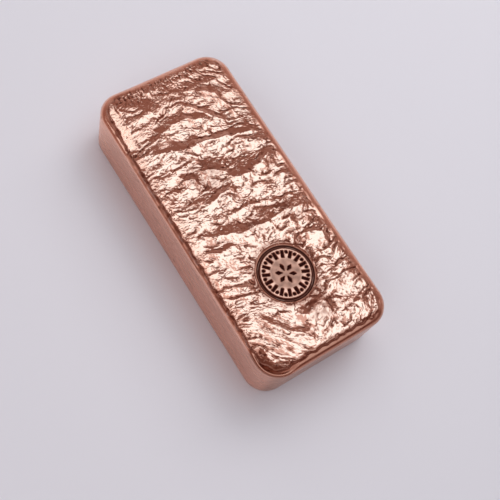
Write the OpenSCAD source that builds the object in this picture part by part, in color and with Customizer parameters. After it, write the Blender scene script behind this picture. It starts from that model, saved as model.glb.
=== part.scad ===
// Copper ingot: one cast bar with drafted walls, rounded upright corners and a soft base edge.
// Its open face set in overlapping folds as it cooled, inside a round shoulder of pulled skin,
// and a round punch mark is struck into that face near one end.
// +X runs along the bar towards the punched end, +Z is up, and the origin is the middle of the base.

/* [Bar] */
// Length of the bar at its widest level
bar_length = 87; // [70:1:120]
// Width of the bar at its widest level
bar_width = 39; // [32:0.5:60]
// Height from the base to the rim of the poured face
bar_height = 17.1; // [12:0.1:25]
// Radius of the four upright corners
corner_radius = 6.6; // [5:0.1:10]
// Slope of the walls in degrees, narrowing towards the base so that the mould lets go
wall_draft = 1.2; // [0:0.1:4]

/* [Edges] */
// Radius of the soft shoulder along the -X and +Y sides of the poured face
shoulder_radius = 2.4; // [1.8:0.1:4]
// Radius of the tight lip along its -Y and +X sides
lip_radius = 1.2; // [0.6:0.1:1.6]
// Level land between the folds and the shoulder
rim_land = 0.4; // [0.2:0.1:1]
// Radius of the edge around the base
base_radius = 1.3; // [0.5:0.1:2]

/* [Poured face] */
// Height of a full fold from its foot to its crest
fold_rise = 0.6; // [0.2:0.05:1.2]
// Width of the steep side of a full fold
fold_width = 1.8; // [1:0.1:3]
// Length of the gentle side of a fold
fold_tail = 7; // [4:0.5:12]
// Distance from the rim over which the folds die away
fold_fade = 1.6; // [0.8:0.1:3]

/* [Punch mark] */
// Distance of the mark's centre from the middle of the bar
mark_offset = 21; // [12:0.5:24]
// Radius of the mark's outer ring
mark_radius = 7.6; // [5:0.1:9]
// Width of the ring's groove
ring_width = 0.8; // [0.4:0.1:1.2]
// Depth of the ring's groove
ring_depth = 0.55; // [0.3:0.05:1]
// Depth of the strokes, dots and petals
stroke_depth = 0.4; // [0.2:0.05:0.8]
// Number of radial strokes, each followed by a dot
stroke_count = 16; // [8:1:18]
// Length of a stroke
stroke_length = 1.9; // [1:0.1:2.2]
// Width of a stroke
stroke_width = 0.7; // [0.4:0.05:0.9]
// Radius of a dot
dot_radius = 0.4; // [0.2:0.05:0.5]
// Number of petals in the rosette
petal_count = 6; // [4:1:8]
// Length of a petal
petal_length = 1.8; // [1:0.1:2]
// Width of a petal
petal_width = 0.9; // [0.5:0.05:1]

/* [Hidden] */
copper = [0.78, 0.48, 0.38];

// How finely the face, its corners, the shoulder and the base edge are divided
face_columns = 74;
face_rows = 32;
corner_steps = 5;
shoulder_steps = 4;
base_steps = 3;

// Share of a fold's run over which each of its two ends tapers
fold_taper = 0.15;
// How fast the soft shoulder turns into the tight lip on the way around the face
lip_blend = 1.6;
// Flat land around the mark, and the distance over which it blends into the folds
mark_land = 0.6;
mark_blend = 2.4;
// Gap between the ring's groove and the strokes
stroke_gap = 0.6;
// Distance of the petals from the centre, and the share of a petal's length where it is widest
petal_start = 0.9;
petal_shoulder = 0.6;
// How far the punch's tools reach above the face, so that they cut it cleanly
punch_reach = 2;

// The poured face is the bar's outline brought in by the shoulder and its land
face_inset = shoulder_radius + rim_land;
face_half_length = bar_length / 2 - face_inset;
face_half_width = bar_width / 2 - face_inset;
face_corner = corner_radius - face_inset;
straight_half = face_half_length - face_corner;

// The folds, placed in hundredths of the bar's half length (x) and half width (y).
// Each one is [first y, last y, first x, middle x, last x, share of the rise, share of the width].
FOLDS = [
    [74, 26, -60, -80, -82, 1, 1.5],
    [56, 2, -59, -67, -79, 0.8, 1.2],
    [36, -62, -61, -72, -62, 1.1, 1.3],
    [-46, -92, -62, -60, -57, 0.6, 0.6],
    [87, -36, -45, -48, -52, 1, 1.2],
    [-28, -77, -52, -59, -56, 0.8, 2],
    [87, 36, -36, -38, -46, 0.8, 0.9],
    [90, 2, -29, -23, -27, 1.1, 1.2],
    [15, -36, -28, -37, -43, 0.8, 2],
    [-26, -62, -36, -34, -38, 0.7, 1.8],
    [15, -72, -20, -15, -13, 1, 1.4],
    [92, 54, -8, -10, -11, 0.7, 0.8],
    [90, 33, 3, 5, 4, 0.5, 0.5],
    [87, -72, 7, 9, 3, 1.3, 1.8],
    [56, 33, 17, 18, 19, 0.6, 0.5],
    [-31, -82, 18, 16, 14, 0.8, 0.9],
    [92, 38, 28, 30, 28, 1, 1.2],
    [-31, -67, 30, 25, 25, 0.7, 1.1],
    [-44, -77, 42, 41, 38, 0.7, 0.7],
    [92, 59, 55, 56, 57, 0.7, 0.8],
    [72, 31, 62, 61, 61, 0.7, 1],
    [87, 26, 75, 82, 80, 0.6, 0.7],
    [36, -26, 68, 67, 63, 1.3, 2.4],
    [-5, -77, 86, 74, 59, 0.8, 1.7],
    [-31, -77, 87, 79, 69, 0.6, 0.9],
];

// A smooth step from 0 to 1 as t goes from 0 to 1
function smooth(t) =
    let (c = min(max(t, 0), 1))
    c * c * (3 - 2 * c);

// Place of a fold's foot along the bar, on a curve through its first, middle and last point
function fold_foot(fold, s) =
    bar_length / 200 * (fold[2] * (1 - s) * (1 - 2 * s) + 4 * fold[3] * s * (1 - s) + fold[4] * s * (2 * s - 1));

// Height that one fold adds at a point: a steep side, then a gentle one
function fold_height(fold, x, y) =
    let (s = (200 * y / bar_width - fold[0]) / (fold[1] - fold[0]))
    let (steep = fold_width * fold[6])
    let (t = x - fold_foot(fold, s))
    let (ends = smooth(s / fold_taper) * smooth((1 - s) / fold_taper))
    fold_rise * fold[5] * ends * (smooth(t / steep) - smooth((t - steep) / fold_tail));

// Share of the folds left at a distance from the rim and from the mark
function fold_share(x, y, rim) =
    smooth(rim / fold_fade) * smooth((norm([x - mark_offset, y]) - mark_radius - mark_land) / mark_blend);

// Height of the poured face above its rim
function relief(x, y, rim) =
    let (share = fold_share(x, y, rim))
    share == 0 ? 0 : share * sum([for (fold = FOLDS) fold_height(fold, x, y)]);

function sum(list) = [for (item = list) 1] * list;

// The face's columns, each [x, half width of the face there, angle of the rim's outward normal]
COLUMNS = [
    for (i = [corner_steps:-1:1])
        let (a = 90 * i / corner_steps)
        [-straight_half - face_corner * sin(a), face_half_width - face_corner * (1 - cos(a)), -a],
    for (i = [0:face_columns])
        [straight_half * (2 * i / face_columns - 1), face_half_width, 0],
    for (i = [1:corner_steps])
        let (a = 90 * i / corner_steps)
        [straight_half + face_corner * sin(a), face_half_width - face_corner * (1 - cos(a)), a],
];
last_column = len(COLUMNS) - 1;

// Points of the poured face, column by column
FACE = [
    for (c = COLUMNS)
        for (j = [0:face_rows])
            let (v = 2 * j / face_rows - 1)
            let (rim = min(c[1] * (1 - abs(v)), face_half_length - abs(c[0])))
            [c[0], c[1] * v, bar_height + relief(c[0], c[1] * v, rim)]
];

function face_index(column, row) = column * (face_rows + 1) + row;

// The rim once around, anticlockwise from above: each entry is [index of the face point, angle of its normal]
RIM = [
    for (i = [0:last_column]) [face_index(i, 0), COLUMNS[i][2] - 90],
    for (j = [1:face_rows - 1]) [face_index(last_column, j), 0],
    for (i = [last_column:-1:0]) [face_index(i, face_rows), 90 - COLUMNS[i][2]],
    for (j = [face_rows - 1:-1:1]) [face_index(0, j), 180],
];
rim_count = len(RIM);

// How far a place lies towards the two sides with the tight lip, from 0 to 1
function lip_share(p) = smooth(0.5 + lip_blend * (p[0] / bar_length - p[1] / bar_width));

// Profile of the side for one radius of the top edge, each entry [distance out from the face, height]
base_top = base_radius * (1 - sin(wall_draft));
function side_profile(radius) =
    let (centre = face_inset - radius)
    let (turn = 90 + wall_draft)
    let (foot = [centre + radius * sin(turn), bar_height - radius * (1 - cos(turn))])
    let (base_centre = foot[0] - (foot[1] - base_top) * tan(wall_draft) - base_radius * cos(wall_draft))
    [
        for (k = [0:shoulder_steps])
            let (a = turn * k / shoulder_steps)
            [centre + radius * sin(a), bar_height - radius * (1 - cos(a))],
        for (k = [0:base_steps])
            let (a = turn + (180 - turn) * k / base_steps)
            [base_centre + base_radius * sin(a), base_radius * (1 + cos(a))],
    ];
PROFILES = [
    for (r = RIM)
        side_profile(shoulder_radius + (lip_radius - shoulder_radius) * lip_share(FACE[r[0]]))
];
last_level = len(PROFILES[0]);

// Points of the side, level by level
SIDE_POINTS = [
    for (level = [0:last_level - 1])
        for (k = [0:rim_count - 1])
            let (p = FACE[RIM[k][0]], side = PROFILES[k][level], angle = RIM[k][1])
            [p[0] + side[0] * cos(angle), p[1] + side[0] * sin(angle), side[1]]
];

// Index of a point of the side, where level 0 is the rim itself
function side_index(level, k) =
    level == 0 ? RIM[k % rim_count][0] : len(FACE) + (level - 1) * rim_count + k % rim_count;

FACE_TRIANGLES = [
    for (i = [0:last_column - 1])
        for (j = [0:face_rows - 1])
            let (a = face_index(i, j), b = face_index(i + 1, j))
            each [[a, a + 1, b + 1], [a, b + 1, b]]
];
SIDE_FACES = [
    for (level = [0:last_level - 1])
        for (k = [0:rim_count - 1])
            [side_index(level, k), side_index(level, k + 1), side_index(level + 1, k + 1), side_index(level + 1, k)]
];
// The base is closed by triangles that meet in its middle
base_middle = len(FACE) + len(SIDE_POINTS);
BASE_TRIANGLES = [
    for (k = [0:rim_count - 1])
        [side_index(last_level, k), side_index(last_level, k + 1), base_middle]
];

// The bar as it left the mould
module cast_bar() {
    polyhedron(
        points = concat(FACE, SIDE_POINTS, [[0, 0, 0]]),
        faces = concat(FACE_TRIANGLES, SIDE_FACES, BASE_TRIANGLES),
        convexity = 4
    );
}

// The ring of the punch
module ring_tool() {
    rotate_extrude($fn = 96)
        translate([mark_radius - ring_width, -ring_depth])
            square([ring_width, ring_depth + punch_reach]);
}

// Strokes and dots in turn, side by side inside the ring
module stroke_tools() {
    outer = mark_radius - ring_width - stroke_gap;
    step = 360 / stroke_count;
    for (i = [0:stroke_count - 1]) {
        rotate(step * i)
            translate([outer - stroke_length, -stroke_width / 2, -stroke_depth])
                cube([stroke_length, stroke_width, stroke_depth + punch_reach]);
        rotate(step * (i + 0.5))
            translate([outer - dot_radius, 0, -stroke_depth])
                cylinder(r = dot_radius, h = stroke_depth + punch_reach, $fn = 24);
    }
}

// A rosette of kite-shaped petals in the middle
module rosette_tools() {
    widest = petal_start + petal_length * petal_shoulder;
    outline = [
        [petal_start, 0],
        [widest, -petal_width / 2],
        [petal_start + petal_length, 0],
        [widest, petal_width / 2],
    ];
    for (i = [0:petal_count - 1])
        rotate(360 / petal_count * i)
            translate([0, 0, -stroke_depth])
                linear_extrude(stroke_depth + punch_reach)
                    polygon(outline);
}

// The whole punch, set on the flat land of the face
module punch() {
    translate([mark_offset, 0, bar_height]) {
        ring_tool();
        stroke_tools();
        rosette_tools();
    }
}

module ingot() {
    color(copper)
        difference() {
            cast_bar();
            punch();
        }
}

ingot();
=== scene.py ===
import math

import bpy
import numpy as np
from mathutils import Matrix, Vector


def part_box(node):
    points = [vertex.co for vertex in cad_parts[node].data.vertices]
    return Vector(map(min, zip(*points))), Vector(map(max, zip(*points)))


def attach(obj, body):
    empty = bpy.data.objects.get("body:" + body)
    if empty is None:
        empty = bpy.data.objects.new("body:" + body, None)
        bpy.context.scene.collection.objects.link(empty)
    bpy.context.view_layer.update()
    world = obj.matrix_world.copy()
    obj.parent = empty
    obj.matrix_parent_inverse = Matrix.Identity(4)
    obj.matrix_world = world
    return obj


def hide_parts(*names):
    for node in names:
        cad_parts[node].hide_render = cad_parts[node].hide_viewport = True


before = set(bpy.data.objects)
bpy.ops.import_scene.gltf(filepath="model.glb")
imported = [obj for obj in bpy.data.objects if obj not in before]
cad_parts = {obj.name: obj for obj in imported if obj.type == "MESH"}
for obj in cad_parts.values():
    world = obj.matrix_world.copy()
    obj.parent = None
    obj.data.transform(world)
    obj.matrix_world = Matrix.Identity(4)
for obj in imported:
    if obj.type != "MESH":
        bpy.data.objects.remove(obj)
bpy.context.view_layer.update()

# All sizes below are in millimetres, and the finished mesh is brought to metres
MM = 0.001

# The bar's own box, from the frame
BAR_LOW, BAR_HIGH = (np.array(corner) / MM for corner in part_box("ingot"))
BAR_LENGTH = BAR_HIGH[0] - BAR_LOW[0]
BAR_WIDTH = BAR_HIGH[1] - BAR_LOW[1]
BAR_TOP = BAR_HIGH[2]

# Sizes of the cast form, as in the part's source
RIM_HEIGHT = 17.1
CORNER_RADIUS = 6.6
WALL_DRAFT = math.radians(1.2)
SHOULDER_RADIUS = 2.4
LIP_RADIUS = 1.2
LIP_BLEND = 1.6
RIM_LAND = 0.4
BASE_RADIUS = 1.3
MARK_X = 21.0
MARK_RADIUS = 7.6
MARK_LAND = 0.6
MARK_BLEND = 2.4
RING_WIDTH = 0.8
RING_DEPTH = 0.55
STROKE_DEPTH = 0.4
STROKE_COUNT = 16
STROKE_LENGTH = 1.9
STROKE_WIDTH = 0.7
STROKE_GAP = 0.6
DOT_RADIUS = 0.4
PETAL_COUNT = 6
PETAL_START = 0.9
PETAL_LENGTH = 1.8
PETAL_WIDTH = 0.9
PETAL_SHOULDER = 0.6

FACE_INSET = SHOULDER_RADIUS + RIM_LAND
FACE_HALF_LENGTH = BAR_LENGTH / 2 - FACE_INSET
FACE_HALF_WIDTH = BAR_WIDTH / 2 - FACE_INSET
FACE_CORNER = CORNER_RADIUS - FACE_INSET
STRAIGHT_HALF = FACE_HALF_LENGTH - FACE_CORNER

# Some forms of value come up often below. A name that ends in FROM has the place where something starts
# and the run over which it comes in. One that ends in UPTO has the place where it ends and the run over
# which it fades before that. A ripple is a noise: its strength, its spacing along x and along y, and its
# seed. Patches are a level and a ripple around it. A distance in is measured from the bar's edge.

# Cells of the noise before it repeats, and the gain that brings it to a range of about -1 to 1
NOISE_CELLS = 256
NOISE_GAIN = 1.5
# Gain of noise that is folded into ridges
RIDGE_GAIN = 1.6

# The folds of the poured face. Each has its rise, the share of the crinkles left on its steep side,
# and places along it, each with the y there, the x of the fold's foot and the x of its crest.
FOLDS = (
    (0.60, 0.1, ((14.5, -27, -23), (13, -31, -24), (12, -33, -28), (11, -34, -31), (9, -35, -33),
                 (5, -35.5, -34))),
    (0.50, 0.1, ((11, -25.5, -23.5), (9, -26, -24), (6, -29.5, -26.5), (3, -32, -30.5), (0, -34.5, -32.5))),
    (0.70, 0.1, ((7, -26.5, -25), (4, -28.5, -26), (0, -30.5, -28), (-4, -31, -28), (-8, -30, -27),
                 (-12, -27, -25.5))),
    (0.35, 0.3, ((-9, -26.8, -25.6), (-14, -25.8, -25), (-18, -24.6, -24))),
    (0.60, 0.1, ((17, -20, -17.3), (12, -20, -17.5), (6, -21, -19), (0, -22, -20.5), (-4, -22.5, -20.2),
                 (-7, -25.5, -20.5), (-10, -25.5, -21.5), (-15, -24.5, -23))),
    (0.45, 0.1, ((17, -15.7, -14), (13, -16, -14.7), (10, -18, -16.5), (7, -20, -18))),
    (0.70, 0.1, ((17.5, -12.8, -11.3), (14, -11.6, -9.6), (10, -9.7, -7.8), (7, -10.2, -7),
                 (3, -10.5, -7.5), (0, -12, -9.5))),
    (0.65, 0.5, ((3, -12, -10), (-1, -15.5, -11.5), (-4, -18, -13), (-7, -18.5, -16))),
    (0.55, 0.4, ((-5, -15.5, -12), (-9, -15, -12), (-12, -16.5, -13.5))),
    (0.60, 0.1, ((3, -8.7, -7.3), (-2, -7.4, -5.5), (-6, -6.3, -4.2), (-9, -7.3, -3.8), (-14, -5.5, -3.3))),
    (0.40, 0.2, ((18, -3.3, -2), (14, -4.3, -2.7), (10.5, -4.6, -3.4))),
    (0.25, 0.4, ((17.5, -0.2, 0.5), (11, 0.2, 0.9))),
    (0.30, 0.4, ((15, 1.8, 2.7), (11, 2.2, 3), (6.5, 1.7, 2.6))),
    (0.80, 0.4, ((17, 3, 7.5), (12, 4, 7), (8, 3.3, 6.2), (4, 3, 7), (0, 4.2, 6.4), (-4, 3.6, 7),
                 (-8, 1.8, 5.2), (-14, 1.5, 2.8))),
    (0.50, 0.3, ((11, 7.6, 8.4), (8.5, 8, 8.8), (6.5, 8.4, 9.2))),
    (0.75, 0.2, ((-6, 8, 9.6), (-9, 7, 8.6), (-12, 7, 8.5), (-16, 6, 6.8))),
    (0.85, 0.4, ((18, 12, 13.5), (14.5, 13.2, 15.6), (11, 12.6, 14.8), (7.5, 12, 13))),
    (0.65, 0.3, ((-6, 13, 15), (-9, 10.8, 13), (-13, 10.8, 12))),
    (0.65, 0.2, ((-8.5, 18.4, 20.2), (-12, 17.8, 19), (-15, 16.6, 17.6))),
    (0.60, 0.2, ((18, 24, 25), (15, 24.3, 25.5), (11.5, 24.6, 26.4))),
    (0.70, 0.3, ((14, 26.8, 27.8), (10, 26.4, 28.2), (6, 26.5, 28.8))),
    (0.50, 0.4, ((17, 32.5, 33.5), (13, 35, 36.5), (9, 35.8, 37), (5, 35, 36.2))),
    (1.10, 0.15, ((7, 29.5, 34), (3, 29, 34), (-1, 29.5, 33.5), (-5, 27.5, 30.5))),
    (0.80, 0.3, ((-1, 37.5, 40), (-4, 34.5, 38), (-7, 32, 35), (-9.5, 28, 33), (-12, 26, 29),
                 (-15, 25.5, 27))),
    (0.60, 0.3, ((-6, 38, 39.5), (-9, 35.5, 37), (-12, 32, 34), (-15, 30, 31.5))),
)
# Where a fold's gentle side ends past its crest, and the run over which its two ends fade
FOLD_TAIL = 7.0
FOLD_END = 4.0
# How late on its steep side a fold rises, and how sharply that side starts and ends
FOLD_CURL = 1.5
FOLD_SHARPNESS = 6
# Ripples that bend the folds and the creases: a wide and a fine one along x, and one along y
FOLD_BEND_X = (0.4, 2.6, 2.6, 1)
FOLD_BEND_X_FINE = (0.2, 1.1, 1.1, 7)
FOLD_BEND_Y = (0.5, 3.1, 3.1, 2)
# The pull of the folds on the direction of the crinkles: its reach squared, and the weight of no pull
FLOW_REACH_SQUARED = 50
FLOW_LEAST = 0.05

# Thin creases, each with its height and places along it, y and x
CREASES = (
    (0.16, ((1, -36), (-1.5, -33.5), (-4, -31.5), (-7, -30.5), (-9, -29.5))),
    (0.16, ((-8.5, -26.6), (-11, -25.6), (-14, -25.2), (-17.5, -24.6))),
    (0.12, ((8, -21.5), (5, -22.8), (1, -24), (-3, -26), (-6, -26.5))),
    (0.12, ((17, -14.6), (14, -14.4), (10, -15.8), (6, -17.5))),
    (0.14, ((11, 7.8), (8, 8.6), (4, 9.2), (0, 10.5))),
    (0.12, ((2, 41), (0.5, 38), (-1, 36), (-4, 33))),
)
CREASE_WIDTH = 0.45
CREASE_END = 2

# The bevel at the far end of the -Y side: its two ends along x, the y where it starts, its width and drop
BEVEL_END = -25.0
BEVEL_FROM = (-FACE_HALF_LENGTH - 1, 4)
BEVEL_UPTO = (BEVEL_END, 1.5)
BEVEL_Y = -14.8
BEVEL_WIDTH = 4.0
BEVEL_DROP = 0.5
# How sharply the bevel takes over from the wrinkled skin, and the shares of wrinkles and grain
# that it takes away
BEVEL_SHARPNESS = 6
BEVEL_SMOOTHING = 0.93
BEVEL_GRAIN_LOSS = 0.4
# Where the forms of the rest of the -Y side start
PAST_BEVEL_FROM = (BEVEL_END, 2)

# Wide swells of the skin, and smaller ones
SWELL = (0.26, 3.6, 6.5, 3)
SWELL_FINE = (0.06, 1.7, 2.6, 4)
# The crumpled skin between the folds: spacing and height of its small overlapping ridges,
# and the share of the spacing that is their steep side
CRUMPLE_STEP = 3.1
CRUMPLE_RISE = 0.26
CRUMPLE_STEEP = 0.35
# Strength of the crumples at the -X end, and what is added to it along the bar: how much, from which x,
# over which run
CRUMPLE_START = 0.4
CRUMPLE_GAINS = ((0.2, -41, 5), (0.3, -30, 8), (0.8, 4, 12))
# Ripples that bend the ridges, and the patches that have them
CRUMPLE_BEND = (0.85, 3.1, 4.8, 11)
CRUMPLE_BEND_FINE = (0.15, 1.2, 1.7, 12)
CRUMPLE_PATCHES = (0.45, (1.3, 3.2, 5.0, 13))
# Finer crinkles on the ridges, in two sizes, and the ripples that bend them
CRINKLE_MIDDLE = (0.03, 1.0, 2.0, 17)
CRINKLE_FINE = (0.015, 0.6, 0.9, 15)
CRINKLE_BEND_X = (0.4, 1.3, 1.3, 14)
CRINKLE_BEND_Y = (0.4, 1.3, 1.3, 16)

# Combed ridges across the rim of the -Y side, how far in they reach, and the ripple that bends them
COMB_SIDE = (0.07, 1.1, 4, 42)
COMB_SIDE_UPTO = (4.5, 1.5)
COMB_SIDE_BEND = (0.3, 1.5, 1.5, 41)
# The same across the -X end, with the x where they end and the clusters that they stand in
COMB_BACK = (0.13, 2, 0.7, 44)
COMB_BACK_UPTO = (8, 4)
COMB_BACK_BEND = (0.4, 1.5, 1.5, 43)
COMB_BACK_X_UPTO = (-33, 3)
COMB_BACK_CLUSTERS = (0.9, (1, 2.5, 2.5, 45))

# Distance in at which the wrinkled skin ends: on the -Y side (near), at the +X end (end),
# on the +Y side (far) and at the -X end (back), with the x where the two ends start
SKIN_NEAR = 0.7
SKIN_END = 1.6
SKIN_FAR = 1.9
SKIN_BACK = 1.0
SKIN_END_FROM = (37, 3)
SKIN_BACK_UPTO = (-36, 4)
# How far its edge wanders, and the run over which it fades on the first two sides and on the others
SKIN_WANDER = (0.45, 1.8, 1.8, 21)
SKIN_FADE_NEAR = 0.6
SKIN_FADE_FAR = 1.8
# Its thickness on the first two sides
SKIN_THICKNESS = 0.42
# At the -X end the skin falls towards the rim: the distance in where that starts, the fall,
# and the x where it ends
FALL_START = 5.0
FALL_DEPTH = 0.3
FALL_UPTO = (-26, 10)
# How far the highest folds stay below the top of the bar's box
TOP_SPARE = 0.01

# Dips and nodules of the skin, each with its place, radius and height
NODULES = (
    (35.2, -16.2, 1.1, 0.35),
    (32.6, -15.0, 0.9, 0.2),
    (-24.6, -17.4, 0.8, -0.4),
)
# The rolled corner of the +X end and -Y side: its middle, its reach, how far in it comes and its drop
ROLL_PLACE = (39.5, -17.0)
ROLL_REACH = 8.5
ROLL_EDGE = 3.4
ROLL_DROP = 1.9
# The groove under the lip of the -Y side: its two ends along x, its distance in, how far that wanders,
# its width and its depth
GROOVE_FROM = (-24.0, 2)
GROOVE_UPTO = (12.0, 4)
GROOVE_EDGE = 0.4
GROOVE_WANDER = (0.12, 3.3, 1, 51)
GROOVE_WIDTH = 0.4
GROOVE_DEPTH = 0.16

# How soft the edges of the mark's cuts are
MARK_SOFTNESS = 0.12
# Where the small forms of the skin start again, past the mark
PAST_MARK_FROM = (MARK_RADIUS, 0.8)
# The shallow trough that the punch pressed around the mark: its depth and its two radii
TROUGH_DEPTH = 0.1
TROUGH_FROM = (MARK_RADIUS, 1.2)
TROUGH_UPTO = (11.0, 1.8)
# The field of the mark, inside its ring, and its unevenness
FIELD_UPTO = (MARK_RADIUS, 1.0)
FIELD_RIPPLE = (0.05, 2.2, 2.2, 31)
# Share of the walls' satin finish on the field, and where it ends
FIELD_SATIN = 0.7
FIELD_SATIN_UPTO = (MARK_RADIUS, 0.4)
# Share of the dark patina on the field, how it varies, and the share of tarnish
FIELD_PATINA = 0.28
FIELD_PATINA_RIPPLE = (0.35, 1.5, 1.5, 32)
FIELD_STAIN = 0.7
# Share of that patina and tarnish that is missing between the strokes, and the radius where that starts
FIELD_BRIGHT = 0.5
FIELD_BRIGHT_FROM = (3.6, 1)
# Share of the patina that is worn off along the middle of the mark's ring, and how far from that middle
RING_WEAR = 0.25
RING_WEAR_UPTO = (RING_WIDTH / 4, RING_WIDTH / 8)

# Painted shade darkens the hollows: how far around a place they are looked for, on which four sides,
# the depth where the shade starts, and the further depth at which it is full
HOLLOW_REACH = 0.45
HOLLOW_SIDES = ((1, 0), (-1, 0), (0, 1), (0, -1))
HOLLOW_START = 0.011
HOLLOW_RANGE = 0.03
# Share of painted shade on the wall of the +X end, and the x part of the way out at which that end starts
END_SHADE = 0.5
END_FROM = (0.6, 0.3)
# Share of painted shade on the lip of that end, and the tilt in radians up to which it reaches
LIP_SHADE = 0.85
LIP_SHADE_UPTO = (1.0, 0.5)
# Share of painted shade on the rolled corner, and how sharply it comes in
ROLL_SHADE = 0.75
ROLL_SHADE_SHARPNESS = 3
# Share of painted shade in a ragged line along the lip of the -Y side, the two distances in between
# which it runs, and its patches
LINE_SHADE = 0.6
LINE_FROM = (0.1, 0.4)
LINE_UPTO = (1.9, 0.5)
LINE_PATCHES = (0.75, (1, 1.4, 1.4, 52))
# Share of darkening in a band around the mark, its two radii and its patches
BAND_DARKENING = 0.8
BAND_FROM = (MARK_RADIUS, 0.7)
BAND_UPTO = (9.8, 1.4)
BAND_PATCHES = (0.75, (1, 2.2, 2.2, 33))
# Patches of painted shade on the skin, each with the x and y of its middle, its reach and its share,
# how sharply they come in, and their patches
SHADE_PATCHES = (
    (31.5, 3.0, 6.0, 0.8),
    (-11.5, -4.5, 6.0, 0.6),
    (5.0, 9.0, 3.5, 0.6),
    (5.8, 0.0, 3.5, 0.6),
)
SHADE_PATCH_SHARPNESS = 1.6
SHADE_PATCHINESS = (0.6, (1, 1.3, 1.3, 34))

# Share of the satin finish on the skin of the far end, and the x where it ends
FAR_SATIN = 0.3
FAR_SATIN_UPTO = (-22.0, 8)
# The same on the rim of the -Y side, with how far in from that side it reaches and the x where it ends
RIM_SATIN = 0.5
RIM_SATIN_UPTO = (4.5, 2)
RIM_SATIN_X_UPTO = (36.0, 6)

# Colours of the bright skin, of its tarnish and painted shade, of the walls in two tones and of their
# pits, and of the patina in the struck mark
SKIN_COLOUR = (0.78, 0.52, 0.43, 1)
TARNISH_AND_SHADE_COLOUR = (0.24, 0.09, 0.06, 1)
WALL_COLOURS = ((0.83, 0.475, 0.37, 1), (0.89, 0.515, 0.40, 1))
PIT_COLOUR = (0.28, 0.14, 0.10, 1)
MARK_COLOUR = (0.022, 0.004, 0.0035, 1)
# Tint of all the metal where it is seen at a low angle
EDGE_TINT = (1, 0.93, 0.88, 1)

# Textures of the metal, each with its scale along x, y and z, its detail and its distortion.
# These follow the bar, in metres: streaks, pits and scratches of the walls, and dull spots of the skin.
STREAK_TEXTURE = ((140, 140, 980), 4, 0)
PIT_TEXTURE = ((500, 500, 800), 1, 0)
SCRATCH_TEXTURE = ((130, 130, 2200), 2, 0.3)
SPOT_TEXTURE = ((300, 300, 300), 2, 0)
# These follow the folds, in millimetres: thin dark lines of the skin, the patches that have them,
# and its grain
THREAD_TEXTURE = ((0.7, 0.35, 1), 1.5, 0.6)
THREAD_PATCH_TEXTURE = ((0.5, 0.4, 1), 1, 0)
GRAIN_TEXTURE = ((2, 1.5, 1), 0.7, 0)
# What a texture becomes: two of its levels, and the two values that they turn into
STREAK_TONES = (0.35, 0.65, 0, 1)
PIT_SHARE = (0.73, 0.78, 0, 0.7)
SCRATCH_SHARE = (0.67, 0.74, 0, 0.75)
THREAD_SHARE = (0, 0.03, 1, 0)
THREAD_PATCH_SHARE = (0.5, 0.58, 0, 1)
SKIN_ROUGHNESS = (0.35, 0.65, 0.07, 0.15)
WALL_ROUGHNESS = (0.3, 0.7, 0.22, 0.32)
# The level of their texture that the thin lines follow, their share of painted shade as in creases,
# and their depth in grain heights
THREAD_LEVEL = 0.5
THREAD_SHADE = 0.7
THREAD_DEPTH = 1.3
# Height of the skin's finest grain, and the least share of it, on the steep sides of the folds
GRAIN_HEIGHT = 0.085
FOLD_GRAIN = 0.35

# Spacing of the mesh lines around the mark and elsewhere, steps around a corner of the face,
# and levels of the side: on the land inside the edge, on the shoulder, on the wall and on the base's edge
FINE_STEP = 0.16
COARSE_STEP = 0.26
CORNER_STEPS = 16
LAND_LEVELS = 6
SHOULDER_LEVELS = 10
WALL_LEVELS = 8
BASE_LEVELS = 4
# Around the mark the mesh lines are bent into circles, fully to the first distance and not past the second
CIRCLE_FULL = 8.6
CIRCLE_END = 14.0
# A length too small to matter, which keeps a division from zero
TINY = 1e-9

# The floor
FLOOR_SIZE = 1400.0
FLOOR_COLOUR = (0.77, 0.73, 0.78, 1)
FLOOR_ROUGHNESS = 0.7
FLOOR_SPECULAR = 0.2

# Camera, from the photograph's viewing angle
CAMERA_PLACE = Vector((63.5, -91.2, 239.1))
CAMERA_FORWARD = Vector((-0.2139, 0.3542, -0.9104))
CAMERA_RIGHT = Vector((0.5303, 0.8247, 0.1963))
CAMERA_LENS = 69.45
CAMERA_SENSOR = 36.0
CAMERA_CLIP = 10.0

# The lights, each with its place, its aim, its two sizes, its radiance, its colour and whether metal
# reflects it: a wide panel overhead, a brighter middle just below it, a small light that the bevel
# reflects, and four lamps that only light the floor, where they cast the soft shadows
LIGHTS = (
    ("panel", (45, 165, 600), (45, 165, 0), 590, 630, 0.66, (0.96, 0.87, 0.84), True),
    ("middle", (0, 212, 595), (0, 212, 0), 400, 300, 1.05, (0.62, 1.06, 1.2), True),
    ("corner", (-284, 28, 595), (-284, 28, 0), 160, 140, 1.4, (0.8, 1, 1.04), True),
    ("back", (-140, 380, 420), (0, 0, 0), 350, 350, 2.7, (1, 1, 1), False),
    ("end", (-390, 130, 420), (0, 0, 0), 350, 350, 1.3, (1, 1, 1), False),
    ("side", (-200, -420, 420), (0, 0, 0), 350, 350, 0.8, (1, 1, 1), False),
    ("front", (220, -420, 420), (60, -120, 0), 350, 350, 1.7, (1, 1, 1), False),
)
# Colour of the surroundings: what lights the floor, the backdrop past the floor's edge, and the room that
# metal reflects, warm and dark high up and paler near the horizon, below the given rise
ROOM_LIGHT = (0.22, 0.205, 0.215, 1)
ROOM_BACKDROP = (0.62, 0.58, 0.63, 1)
ROOM_DARK = (0.30, 0.15, 0.118, 1)
ROOM_HORIZON = (0.72, 0.56, 0.52, 1)
HORIZON_RISE = 0.62


def smooth(t):
    """A smooth step from 0 to 1 as t goes from 0 to 1."""
    c = np.clip(t, 0, 1)
    return c * c * (3 - 2 * c)


def above(value, start, run):
    """0 up to the start, and a smooth step to 1 over the run past it."""
    return smooth((value - start) / run)


def below(value, end, run):
    """A smooth step from 1 to 0 over the run before the end, and 0 past it."""
    return smooth((end - value) / run)


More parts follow.
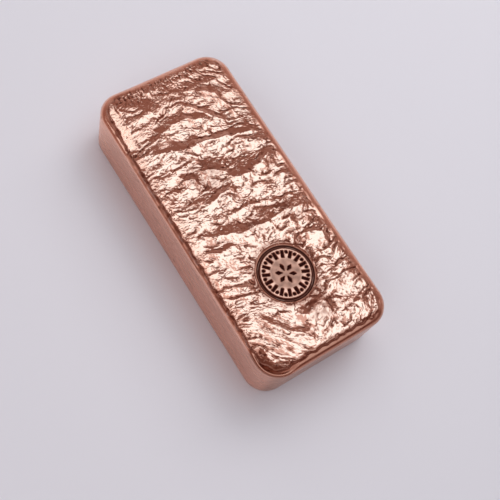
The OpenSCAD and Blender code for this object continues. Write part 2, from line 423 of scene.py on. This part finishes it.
def fade(t):
    """The curve that blends the corners of a cell of noise."""
    return t * t * t * (t * (6 * t - 15) + 10)


def noise(x, y, seed):
    """Gradient noise with a lattice of 1, from about -1 to 1."""
    angles = np.random.default_rng(seed).uniform(0, 2 * np.pi, (NOISE_CELLS, NOISE_CELLS))
    column = np.floor(x).astype(int)
    row = np.floor(y).astype(int)
    u = x - column
    v = y - row

    def corner(i, j):
        angle = angles[(column + i) % NOISE_CELLS, (row + j) % NOISE_CELLS]
        return np.cos(angle) * (u - i) + np.sin(angle) * (v - j)

    fade_u = fade(u)
    fade_v = fade(v)
    near = corner(0, 0) * (1 - fade_u) + corner(1, 0) * fade_u
    far = corner(0, 1) * (1 - fade_u) + corner(1, 1) * fade_u
    return NOISE_GAIN * (near * (1 - fade_v) + far * fade_v)


def ripple(x, y, kind):
    """Noise of one kind: its strength, its spacing along x and along y, and its seed."""
    strength, spacing_x, spacing_y, seed = kind
    return strength * noise(x / spacing_x, y / spacing_y, seed)


def ridges(x, y, kind):
    """A ripple folded into sharp ridges, from half its strength below zero to half of it above."""
    strength, spacing_x, spacing_y, seed = kind
    valley = np.minimum(np.abs(noise(x / spacing_x, y / spacing_y, seed)) * RIDGE_GAIN, 1)
    return strength * (0.5 - valley)


def patchy(x, y, patches):
    """A share from 0 to 1 that comes and goes in patches: their level and a ripple around it."""
    level, kind = patches
    return smooth(level + ripple(x, y, kind))


def near_side(x, y):
    """1 along the -Y and +X sides, where the edge is tight and the skin thick, and 0 along the others."""
    return smooth(0.5 + LIP_BLEND * (x / BAR_LENGTH - y / BAR_WIDTH))


def folds(x, y):
    """Height of all the folds at each point, and the share of crinkles that they leave there."""
    height = np.zeros_like(x)
    crinkles = np.ones_like(x)
    for rise, rough, places in FOLDS:
        place_y, foot_x, crest_x = np.array(places[::-1]).T
        foot = np.interp(y, place_y, foot_x)
        crest = np.interp(y, place_y, crest_x)
        end = min(FOLD_END, (place_y[-1] - place_y[0]) / 2)
        share = above(y, place_y[0], end) * below(y, place_y[-1], end)
        climb = np.clip((x - foot) / (crest - foot), 0, 1)
        fall = np.clip((x - crest) / FOLD_TAIL, 0, 1)
        height += rise * share * np.where(x < crest, climb ** FOLD_CURL, (1 - fall) ** 2)
        on_steep = share * smooth(FOLD_SHARPNESS * climb) * smooth(FOLD_SHARPNESS * (1 - climb))
        crinkles *= 1 - (1 - rough) * on_steep
    return height, crinkles


def flow(x, y):
    """Place across the crinkles, which run alongside the nearest folds."""
    shift = np.zeros_like(x)
    total = np.full_like(x, FLOW_LEAST)
    for _, _, places in FOLDS:
        place_y, foot_x, _ = np.array(places[::-1]).T
        slope = (foot_x[-1] - foot_x[0]) / (place_y[-1] - place_y[0])
        apart = (x - foot_x.mean()) ** 2 + (y - place_y.mean()) ** 2
        weight = np.exp(-apart / FLOW_REACH_SQUARED)
        shift += weight * slope * (y - place_y.mean())
        total += weight
    return x - shift / total


def crumple(x, y):
    """Height of the crumpled skin: small overlapping ridges in patches, with finer crinkles on them."""
    across = flow(x, y)
    strength = CRUMPLE_START
    for gain, start, run in CRUMPLE_GAINS:
        strength = strength + gain * above(x, start, run)
    phase = across / CRUMPLE_STEP + ripple(across, y, CRUMPLE_BEND) + ripple(x, y, CRUMPLE_BEND_FINE)
    turn = phase - np.floor(phase)
    up = 1 - turn / CRUMPLE_STEEP
    down = (turn - CRUMPLE_STEEP) / (1 - CRUMPLE_STEEP)
    ridge = 1 - np.where(turn < CRUMPLE_STEEP, up, down) ** 2
    main = CRUMPLE_RISE * (ridge - 0.5) * patchy(across, y, CRUMPLE_PATCHES)
    bent_x = across + ripple(x, y, CRINKLE_BEND_X)
    bent_y = y + ripple(x, y, CRINKLE_BEND_Y)
    middle = ridges(bent_x, bent_y, CRINKLE_MIDDLE)
    return strength * (main + middle) + ripple(bent_x, bent_y, CRINKLE_FINE)


def comb(x, y, edge):
    """Height of the short ridges that run over the rim of the -Y side and of the -X end."""
    side = below(edge, *COMB_SIDE_UPTO) * near_side(x, y) * above(x, *PAST_BEVEL_FROM)
    over_side = side * ripple(x + ripple(x, y, COMB_SIDE_BEND), y, COMB_SIDE)
    back = below(edge, *COMB_BACK_UPTO) * below(x, *COMB_BACK_X_UPTO) * patchy(x, y, COMB_BACK_CLUSTERS)
    over_back = back * ripple(x, y + ripple(x, y, COMB_BACK_BEND), COMB_BACK)
    return over_side + over_back


def creases(x, y):
    """Height of the thin creases."""
    height = np.zeros_like(x)
    for rise, places in CREASES:
        place_y, place_x = np.array(places[::-1]).T
        ends = above(y, place_y[0], CREASE_END) * below(y, place_y[-1], CREASE_END)
        away = np.abs(x - np.interp(y, place_y, place_x)) / CREASE_WIDTH
        height += rise * ends * np.maximum(1 - away, 0)
    return height


def bevel(x, y):
    """How far the bevel has taken over from the wrinkled skin, and its drop."""
    along = above(x, *BEVEL_FROM) * below(x, *BEVEL_UPTO)
    across = np.clip((BEVEL_Y - y) / BEVEL_WIDTH, 0, 1)
    return along * smooth(BEVEL_SHARPNESS * across), BEVEL_DROP * along * across


def skin_share(x, y, edge):
    """Share of the wrinkled skin at a distance in from the bar's edge, which differs from side to side."""
    lean = near_side(x, y)
    border = SKIN_FAR + (SKIN_NEAR - SKIN_FAR) * lean
    border = border + (SKIN_END - border) * above(x, *SKIN_END_FROM) * lean
    border = border + (SKIN_BACK - border) * below(x, *SKIN_BACK_UPTO) * (1 - lean)
    run = SKIN_FADE_FAR + (SKIN_FADE_NEAR - SKIN_FADE_FAR) * lean
    return above(edge, border + ripple(x, y, SKIN_WANDER), run)


def lip_groove(x, y, edge):
    """Depth of the groove under the lip of the -Y side."""
    along = above(x, *GROOVE_FROM) * below(x, *GROOVE_UPTO)
    place = GROOVE_EDGE + ripple(x, np.zeros_like(x), GROOVE_WANDER)
    across = np.abs(edge - place) / GROOVE_WIDTH
    return GROOVE_DEPTH * along * (y < 0) * smooth(1 - across)


def nodules(x, y):
    """Height of the single dips and nodules."""
    height = np.zeros_like(x)
    for place_x, place_y, radius, rise in NODULES:
        height += rise * smooth(1 - np.hypot(x - place_x, y - place_y) / radius)
    return height


def corner_roll(x, y, edge):
    """Share of the rolled corner at each place."""
    reach = smooth(1 - np.hypot(x - ROLL_PLACE[0], y - ROLL_PLACE[1]) / ROLL_REACH)
    return reach * np.clip(1 - edge / ROLL_EDGE, 0, 1)


def from_nearest_ray(angle, count):
    """Angle from the nearest of a number of rays, evenly spread from the +X direction on."""
    step = 2 * np.pi / count
    return (angle + step / 2) % step - step / 2


def mark_cuts(dx, dy):
    """Depth of the struck mark's cuts at places measured from its middle, and the dark patina in them."""
    radius = np.hypot(dx, dy)
    angle = np.arctan2(dy, dx)

    def cut(distance):
        return smooth(0.5 - distance / MARK_SOFTNESS)

    from_ring = np.abs(radius - MARK_RADIUS + RING_WIDTH / 2)
    ring = cut(from_ring - RING_WIDTH / 2)
    outer = MARK_RADIUS - RING_WIDTH - STROKE_GAP
    turn = from_nearest_ray(angle, STROKE_COUNT)
    past_end = np.abs(radius * np.cos(turn) - outer + STROKE_LENGTH / 2) - STROKE_LENGTH / 2
    past_side = np.abs(radius * np.sin(turn)) - STROKE_WIDTH / 2
    stroke = cut(np.maximum(past_end, past_side))
    turn = from_nearest_ray(angle + np.pi / STROKE_COUNT, STROKE_COUNT)
    dot = cut(np.hypot(radius * np.cos(turn) - outer + DOT_RADIUS, radius * np.sin(turn)) - DOT_RADIUS)
    turn = from_nearest_ray(angle, PETAL_COUNT)
    along = (radius * np.cos(turn) - PETAL_START) / PETAL_LENGTH
    half = PETAL_WIDTH / 2 * np.minimum(along / PETAL_SHOULDER, (1 - along) / (1 - PETAL_SHOULDER))
    petal = cut(np.abs(radius * np.sin(turn)) - half)
    marks = np.maximum.reduce((stroke, dot, petal))
    worn = RING_WEAR * below(from_ring, *RING_WEAR_UPTO)
    return np.maximum(RING_DEPTH * ring, STROKE_DEPTH * marks), np.maximum(ring * (1 - worn), marks)


def field_dullness(radius):
    """Share of patina and tarnish left on the mark's field: less between the strokes than in the middle."""
    return 1 - FIELD_BRIGHT * above(radius, *FIELD_BRIGHT_FROM)


def mark_relief(x, y, radius):
    """Height of the struck mark, its field and the trough around it, and its patina."""
    trough = TROUGH_DEPTH * above(radius, *TROUGH_FROM) * below(radius, *TROUGH_UPTO)
    inside = below(radius, *FIELD_UPTO)
    field = inside * ripple(x, y, FIELD_RIPPLE)
    depth, patina = mark_cuts(x - MARK_X, y)
    dulled = inside * (FIELD_PATINA * field_dullness(radius) + ripple(x, y, FIELD_PATINA_RIPPLE))
    return field - trough - depth, np.clip(np.maximum(patina, dulled), 0, 1)


def relief(x, y, edge):
    """Height of the skin over the plain cast form, the mark's patina and the skin's grain."""
    bent_x = x + ripple(x, y, FOLD_BEND_X) + ripple(x, y, FOLD_BEND_X_FINE)
    bent_y = y + ripple(x, y, FOLD_BEND_Y)
    height, grain = folds(bent_x, bent_y)
    smoothed, drop = bevel(x, y)
    radius = np.hypot(x - MARK_X, y)
    height = height * above(radius, MARK_RADIUS + MARK_LAND, MARK_BLEND)
    small = ripple(x, y, SWELL) + ripple(x, y, SWELL_FINE)
    small = small + crumple(x, y) * grain + comb(x, y, edge) + creases(bent_x, bent_y) + nodules(x, y)
    outside = above(radius, *PAST_MARK_FROM)
    height = (height + small * outside) * (1 - BEVEL_SMOOTHING * smoothed)
    skin = skin_share(x, y, edge)
    from_end = x + BAR_LENGTH / 2
    fall = FALL_DEPTH * above(from_end, SKIN_FAR, FALL_START - SKIN_FAR) * below(x, *FALL_UPTO)
    height = (height + fall + SKIN_THICKNESS * near_side(x, y) * outside) * skin
    limit = BAR_TOP - RIM_HEIGHT - TOP_SPARE
    height = np.where(height > 0, limit * np.tanh(height / limit), height)
    drop = (drop + ROLL_DROP * corner_roll(x, y, edge)) * smooth(edge / LIP_RADIUS)
    struck, patina = mark_relief(x, y, radius)
    height = height - drop + struck - lip_groove(x, y, edge)
    grain = (FOLD_GRAIN + (1 - FOLD_GRAIN) * grain) * (1 - BEVEL_GRAIN_LOSS * smoothed)
    return height, patina, grain * skin * outside


def tarnish_and_shade(x, y, edge, height):
    """Share of tarnish and painted shade: painted shade in hollows, along the skin's border and the lip of
    the -Y side, on the rolled corner and in patches; tarnish on the mark's field; and a darker band around
    the mark.
    """
    around = np.zeros_like(x)
    for step_x, step_y in HOLLOW_SIDES:
        beside, _, _ = relief(x + step_x * HOLLOW_REACH, y + step_y * HOLLOW_REACH, edge)
        around += beside / len(HOLLOW_SIDES)
    # Painted shade: places lower than the skin around them are darkened
    hollow_shade = np.clip((around - height - HOLLOW_START) / HOLLOW_RANGE, 0, 1)
    skin = skin_share(x, y, edge)
    # 1 where half of the skin is left, and 0 where all of it or none is
    half_gone = 4 * skin * (1 - skin)
    # Painted shade along the border of the skin on the -Y and +X sides
    border = np.sqrt(half_gone) * near_side(x, y)
    # Painted shade in a ragged line under the lip of the -Y side
    ragged = patchy(x, y, LINE_PATCHES) * near_side(x, y) * above(x, *PAST_BEVEL_FROM)
    line = LINE_SHADE * ragged * above(edge, *LINE_FROM) * below(edge, *LINE_UPTO)
    # Painted shade on the rolled corner
    rolled = ROLL_SHADE * smooth(ROLL_SHADE_SHARPNESS * corner_roll(x, y, edge))
    radius = np.hypot(x - MARK_X, y)
    # A darker band around the mark, and tarnish on the mark's field
    band = BAND_DARKENING * above(radius, *BAND_FROM) * below(radius, *BAND_UPTO) * patchy(x, y, BAND_PATCHES)
    band = np.where(radius < MARK_RADIUS, FIELD_STAIN * field_dullness(radius), band)
    # Patches of painted shade
    places = np.zeros_like(x)
    for place_x, place_y, reach, share in SHADE_PATCHES:
        away = np.hypot(x - place_x, y - place_y) / reach
        places = np.maximum(places, share * smooth(SHADE_PATCH_SHARPNESS * (1 - away)))
    places = places * patchy(x, y, SHADE_PATCHINESS)
    return np.maximum.reduce((hollow_shade, border, line, rolled, band, places))


def skin_satin(x, y):
    """Share of the satin finish on the skin."""
    far = FAR_SATIN * below(x, *FAR_SATIN_UPTO)
    along_rim = above(x, *PAST_BEVEL_FROM) * below(x, *RIM_SATIN_X_UPTO)
    rim = RIM_SATIN * along_rim * below(y + BAR_WIDTH / 2, *RIM_SATIN_UPTO)
    return np.maximum(far, rim)


def graded_lines(low, high, centre, half):
    """Places of mesh lines from low to high, close together within half of the centre."""
    fine_count = round(half / FINE_STEP)
    fine = np.arange(-fine_count, fine_count + 1) * FINE_STEP + centre
    before = np.linspace(low, fine[0], math.ceil((fine[0] - low) / COARSE_STEP) + 1)[:-1]
    after = np.linspace(fine[-1], high, math.ceil((high - fine[-1]) / COARSE_STEP) + 1)[1:]
    return np.concatenate((before, fine, after))


def bend_to_circles(x, y):
    """Moves mesh points so that the lines around the mark run in circles."""
    dx = x - MARK_X
    square = np.maximum(np.abs(dx), np.abs(y))
    round_off = np.where(square > 0, square / np.maximum(np.hypot(dx, y), TINY), 1)
    keep = above(square, CIRCLE_FULL, CIRCLE_END - CIRCLE_FULL)
    scale = round_off + (1 - round_off) * keep
    return MARK_X + dx * scale, y * scale


def face_grid():
    """Points of the poured face in columns: x, y, distance to the rim, and each column's rim angle."""
    arc = np.linspace(0, np.pi / 2, CORNER_STEPS + 1)[1:]
    straight = graded_lines(-STRAIGHT_HALF, STRAIGHT_HALF, MARK_X, CIRCLE_FULL)
    column_x = np.concatenate((
        -STRAIGHT_HALF - FACE_CORNER * np.sin(arc[::-1]),
        straight,
        STRAIGHT_HALF + FACE_CORNER * np.sin(arc),
    ))
    column_angle = np.concatenate((-arc[::-1], np.zeros_like(straight), arc))
    half_width = FACE_HALF_WIDTH - FACE_CORNER * (1 - np.cos(column_angle))
    row = graded_lines(-FACE_HALF_WIDTH, FACE_HALF_WIDTH, 0, CIRCLE_FULL) / FACE_HALF_WIDTH
    x = np.repeat(column_x[:, None], len(row), axis=1)
    y = half_width[:, None] * row[None, :]
    x, y = bend_to_circles(x, y)
    to_side = half_width[:, None] * (1 - np.abs(row[None, :]))
    to_end = FACE_HALF_LENGTH - np.abs(column_x)[:, None]
    return x, y, np.minimum(to_side, to_end), column_angle


def side_profile(radius):
    """Levels of the side around the bar for each radius of its top edge: distance out, height and tilt."""
    turn = np.pi / 2 + WALL_DRAFT
    centre = FACE_INSET - radius
    levels = []
    for k in range(1, LAND_LEVELS + 1):
        levels.append((centre * k / LAND_LEVELS, np.full_like(radius, RIM_HEIGHT), 0.0))
    for k in range(1, SHOULDER_LEVELS + 1):
        tilt = turn * k / SHOULDER_LEVELS
        height = RIM_HEIGHT - radius * (1 - math.cos(tilt))
        levels.append((centre + radius * math.sin(tilt), height, tilt))
    top_out, top_z, _ = levels[-1]
    base_top = BASE_RADIUS * (1 + math.cos(turn))
    wall_end = top_out - (top_z - base_top) * math.tan(WALL_DRAFT)
    for k in range(1, WALL_LEVELS):
        share = k / WALL_LEVELS
        height = top_z + (base_top - top_z) * share
        levels.append((top_out + (wall_end - top_out) * share, height, turn))
    base_centre = wall_end - BASE_RADIUS * math.cos(WALL_DRAFT)
    for k in range(BASE_LEVELS + 1):
        tilt = turn + (np.pi - turn) * k / BASE_LEVELS
        height = np.full_like(radius, BASE_RADIUS * (1 + math.cos(tilt)))
        levels.append((base_centre + BASE_RADIUS * math.sin(tilt), height, tilt))
    return levels


def plain_looks(count):
    """Looks of a number of points on a plain satin wall."""
    return {
        "patina": np.zeros(count),
        "satin": np.ones(count),
        "grain": np.zeros(count),
        "tarnish_and_shade": np.zeros(count),
    }


def poured_face():
    """The poured face: its points, looks and faces, the ring of its rim, and the way out from there."""
    x, y, to_rim, column_angle = face_grid()
    columns, rows = x.shape
    edge = to_rim + FACE_INSET
    height, patina, grain = relief(x, y, edge)
    field = below(np.hypot(x - MARK_X, y), *FIELD_SATIN_UPTO)
    looks = {
        "patina": patina.reshape(-1),
        "satin": np.maximum(FIELD_SATIN * field, skin_satin(x, y)).reshape(-1),
        "grain": grain.reshape(-1),
        "tarnish_and_shade": tarnish_and_shade(x, y, edge, height).reshape(-1),
    }
    points = np.stack((x, y, RIM_HEIGHT + height), axis=2).reshape(-1, 3)
    number = np.arange(columns * rows).reshape(columns, rows)
    corners = (number[:-1, :-1], number[1:, :-1], number[1:, 1:], number[:-1, 1:])
    faces = np.stack(corners, axis=2).reshape(-1, 4)
    ring = np.concatenate((number[:, 0], number[-1, 1:-1], number[::-1, -1], number[0, -2:0:-1]))
    angle = np.concatenate((
        column_angle - np.pi / 2,
        np.zeros(rows - 2),
        np.pi / 2 - column_angle[::-1],
        np.full(rows - 2, np.pi),
    ))
    outward = np.stack((np.cos(angle), np.sin(angle)), axis=1)
    return points, looks, faces, ring, outward


def side_level(rim_xy, outward, out, z, tilt):
    """Points and looks of one level of the side, with the skin on it where it isn't yet the wall."""
    level = np.column_stack((rim_xy + out[:, None] * outward, z))
    looks = plain_looks(len(level))
    at_end = above(outward[:, 0], *END_FROM)
    # Painted shade on the wall of the +X end
    looks["tarnish_and_shade"] = END_SHADE * at_end
    if tilt < np.pi / 2:
        x = level[:, 0]
        y = level[:, 1]
        edge = FACE_INSET - out
        height, _, looks["grain"] = relief(x, y, edge)
        looks["satin"] -= skin_share(x, y, edge) * (1 - skin_satin(x, y))
        # Painted shade on the lip of the +X end
        lip = LIP_SHADE * at_end * below(tilt, *LIP_SHADE_UPTO)
        looks["tarnish_and_shade"] = np.maximum.reduce((looks["tarnish_and_shade"], lip, tarnish_and_shade(x, y, edge, height)))
        normal = np.column_stack((outward * math.sin(tilt), np.full(len(level), math.cos(tilt))))
        level = level + height[:, None] * normal
    return level, looks


def ring_quads(ring_a, ring_b):
    """Faces between two closed rings of point numbers."""
    return np.stack((ring_a, np.roll(ring_a, -1), np.roll(ring_b, -1), ring_b), axis=1)[:, ::-1]


def build_bar():
    """The bar: the poured face, the levels of the side and the base, as one mesh with its looks."""
    face, face_looks, face_quads, ring, outward = poured_face()
    rim_xy = face[ring][:, :2]
    radius = SHOULDER_RADIUS + (LIP_RADIUS - SHOULDER_RADIUS) * near_side(rim_xy[:, 0], rim_xy[:, 1])
    points = [face]
    looks = [face_looks]
    quads = [face_quads]
    start = len(face)
    for out, z, tilt in side_profile(radius):
        level, level_looks = side_level(rim_xy, outward, out, z, tilt)
        points.append(level)
        looks.append(level_looks)
        next_ring = start + np.arange(len(ring))
        quads.append(ring_quads(ring, next_ring))
        start += len(ring)
        ring = next_ring
    points.append(np.zeros((1, 3)))
    looks.append(plain_looks(1))
    base = np.stack((ring, np.full(len(ring), start), np.roll(ring, -1)), axis=1)
    vertices = np.clip(np.concatenate(points), BAR_LOW, BAR_HIGH)
    mesh = bpy.data.meshes.new("cast_ingot")
    mesh.from_pydata((vertices * MM).tolist(), [], np.concatenate(quads).tolist() + base.tolist())
    mesh.update()
    mesh.shade_smooth()
    for name in face_looks:
        values = np.concatenate([part[name] for part in looks])
        layer = mesh.attributes.new(name, "FLOAT", "POINT")
        layer.data.foreach_set("value", values.astype(np.float32))
    drift = np.column_stack((flow(vertices[:, 0], vertices[:, 1]), vertices[:, 1:]))
    layer = mesh.attributes.new("drift", "FLOAT_VECTOR", "POINT")
    layer.data.foreach_set("vector", drift.astype(np.float32).reshape(-1))
    piece = bpy.data.objects.new("cast_ingot", mesh)
    bpy.context.scene.collection.objects.link(piece)
    return piece


def attribute(tree, name, output):
    """One of the looks that the mesh carries."""
    node = tree.nodes.new("ShaderNodeAttribute")
    node.attribute_name = name
    return node.outputs[output]


def texture(tree, vector, kind):
    """A noise texture: its scale, its detail and its distortion."""
    scale, detail, distortion = kind
    mapping = tree.nodes.new("ShaderNodeMapping")
    mapping.inputs["Scale"].default_value = scale
    tree.links.new(vector, mapping.inputs["Vector"])
    node = tree.nodes.new("ShaderNodeTexNoise")
    node.inputs["Scale"].default_value = 1.0
    node.inputs["Detail"].default_value = detail
    node.inputs["Distortion"].default_value = distortion
    tree.links.new(mapping.outputs["Vector"], node.inputs["Vector"])
    return node.outputs["Fac"]


def ranged(tree, value, levels):
    """A value brought from one range to another."""
    node = tree.nodes.new("ShaderNodeMapRange")
    for name, level in zip(("From Min", "From Max", "To Min", "To Max"), levels):
        node.inputs[name].default_value = level
    tree.links.new(value, node.inputs["Value"])
    return node.outputs["Result"]


def combined(tree, operation, *values):
    """A sum, product or the like of values, each a number or the output of a node."""
    node = tree.nodes.new("ShaderNodeMath")
    node.operation = operation
    for socket, value in zip(node.inputs, values):
        if isinstance(value, float):
            socket.default_value = value
        else:
            tree.links.new(value, socket)
    return node.outputs["Value"]


def mixed(tree, kind, factor, first, second):
    """A mix of two values or colours, each a fixed colour or the output of a node."""
    node = tree.nodes.new("ShaderNodeMix")
    node.data_type = kind
    tree.links.new(factor, node.inputs["Factor"])
    for name, value in (("A", first), ("B", second)):
        if isinstance(value, tuple):
            node.inputs[name].default_value = value
        else:
            tree.links.new(value, node.inputs[name])
    return node.outputs["Result"]


def copper_material():
    """Bright wrinkled skin, satin walls with streaks and a few pits, and dark metal in the struck mark."""
    material = bpy.data.materials.new("copper")
    material.use_nodes = True
    tree = material.node_tree
    shader = tree.nodes["Principled BSDF"]
    shader.inputs["Metallic"].default_value = 1.0
    shader.inputs["Specular Tint"].default_value = EDGE_TINT
    place = tree.nodes.new("ShaderNodeTexCoord").outputs["Object"]
    drift = attribute(tree, "drift", "Vector")
    satin = attribute(tree, "satin", "Fac")
    grain = attribute(tree, "grain", "Fac")
    tarnish_and_shade_share = attribute(tree, "tarnish_and_shade", "Fac")
    patina = attribute(tree, "patina", "Fac")

    # The walls, with their streaks, pits and scratches
    streaks = texture(tree, place, STREAK_TEXTURE)
    walls = mixed(tree, "RGBA", ranged(tree, streaks, STREAK_TONES), *WALL_COLOURS)
    pits = ranged(tree, texture(tree, place, PIT_TEXTURE), PIT_SHARE)
    scratches = ranged(tree, texture(tree, place, SCRATCH_TEXTURE), SCRATCH_SHARE)
    walls = mixed(tree, "RGBA", combined(tree, "MAXIMUM", pits, scratches), walls, PIT_COLOUR)

    # Thin lines in patches of the skin, painted dark as shade in creases
    from_level = combined(tree, "SUBTRACT", texture(tree, drift, THREAD_TEXTURE), THREAD_LEVEL)
    threads = ranged(tree, combined(tree, "ABSOLUTE", from_level), THREAD_SHARE)
    patches = ranged(tree, texture(tree, drift, THREAD_PATCH_TEXTURE), THREAD_PATCH_SHARE)
    threads = combined(tree, "MULTIPLY", threads, combined(tree, "MULTIPLY", patches, grain))

    # The colour, from the skin and the walls to the tarnish and painted shade and the mark's patina
    # Tarnish and painted shade, and the painted shade of the thin lines
    stain_and_shade = combined(tree, "MAXIMUM", tarnish_and_shade_share, combined(tree, "MULTIPLY", threads, THREAD_SHADE))
    metal = mixed(tree, "RGBA", satin, SKIN_COLOUR, walls)
    metal = mixed(tree, "RGBA", stain_and_shade, metal, TARNISH_AND_SHADE_COLOUR)
    metal = mixed(tree, "RGBA", patina, metal, MARK_COLOUR)
    tree.links.new(metal, shader.inputs["Base Color"])

    # The polish
    rough_skin = ranged(tree, texture(tree, place, SPOT_TEXTURE), SKIN_ROUGHNESS)
    rough_walls = ranged(tree, streaks, WALL_ROUGHNESS)
    tree.links.new(mixed(tree, "FLOAT", satin, rough_skin, rough_walls), shader.inputs["Roughness"])

    # The finest grain, with the thin lines cut into it
    fine = combined(tree, "MULTIPLY", texture(tree, drift, GRAIN_TEXTURE), grain)
    cut = combined(tree, "MULTIPLY", threads, THREAD_DEPTH)
    bump = tree.nodes.new("ShaderNodeBump")
    bump.inputs["Distance"].default_value = GRAIN_HEIGHT * MM
    tree.links.new(combined(tree, "SUBTRACT", fine, cut), bump.inputs["Height"])
    tree.links.new(bump.outputs["Normal"], shader.inputs["Normal"])
    return material


def build_floor():
    """The plain pale floor."""
    bpy.ops.mesh.primitive_plane_add(size=FLOOR_SIZE * MM, location=(0, 0, 0))
    floor = bpy.context.object
    floor.name = "floor"
    material = bpy.data.materials.new("floor")
    material.use_nodes = True
    shader = material.node_tree.nodes["Principled BSDF"]
    shader.inputs["Base Color"].default_value = FLOOR_COLOUR
    shader.inputs["Roughness"].default_value = FLOOR_ROUGHNESS
    shader.inputs["Specular IOR Level"].default_value = FLOOR_SPECULAR
    floor.data.materials.append(material)


def build_world():
    """The surroundings: a colour that lights the floor, one behind it, and the room that metal reflects."""
    world = bpy.data.worlds.new("room")
    bpy.context.scene.world = world
    world.use_nodes = True
    tree = world.node_tree
    path = tree.nodes.new("ShaderNodeLightPath")
    direction = tree.nodes.new("ShaderNodeTexCoord")
    axes = tree.nodes.new("ShaderNodeSeparateXYZ")
    tree.links.new(direction.outputs["Generated"], axes.inputs["Vector"])
    rise = ranged(tree, axes.outputs["Z"], (0, HORIZON_RISE, 0, 1))
    room = mixed(tree, "RGBA", rise, ROOM_HORIZON, ROOM_DARK)
    room = mixed(tree, "RGBA", path.outputs["Is Glossy Ray"], ROOM_LIGHT, room)
    room = mixed(tree, "RGBA", path.outputs["Is Camera Ray"], room, ROOM_BACKDROP)
    tree.links.new(room, tree.nodes["Background"].inputs["Color"])


def build_lights():
    """The studio lights, each a rectangle that faces its aim."""
    for name, place, aim, width, depth, radiance, colour, reflected in LIGHTS:
        lamp = bpy.data.lights.new(name, "AREA")
        lamp.shape = "RECTANGLE"
        lamp.size = width * MM
        lamp.size_y = depth * MM
        lamp.color = colour
        lamp.energy = radiance * math.pi * lamp.size * lamp.size_y
        holder = bpy.data.objects.new(name, lamp)
        bpy.context.scene.collection.objects.link(holder)
        direction = Vector(aim) - Vector(place)
        aimed = direction.to_track_quat("-Z", "Y").to_matrix().to_4x4()
        holder.matrix_world = Matrix.Translation(Vector(place) * MM) @ aimed
        holder.visible_glossy = reflected


def build_camera():
    """The camera at the photograph's viewing angle."""
    camera = bpy.data.cameras.new("camera")
    camera.lens = CAMERA_LENS
    camera.sensor_width = CAMERA_SENSOR
    camera.clip_start = CAMERA_CLIP * MM
    holder = bpy.data.objects.new("camera", camera)
    bpy.context.scene.collection.objects.link(holder)
    back = -CAMERA_FORWARD.normalized()
    right = CAMERA_RIGHT.normalized()
    up = back.cross(right)
    turn = Matrix((right, up, back)).transposed().to_4x4()
    holder.matrix_world = Matrix.Translation(CAMERA_PLACE * MM) @ turn
    bpy.context.scene.camera = holder


build_camera()
build_floor()
build_world()
build_lights()
bar = build_bar()
bar.data.materials.append(copper_material())
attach(bar, "root")
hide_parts("ingot")
bpy.context.scene.view_settings.view_transform = "Standard"
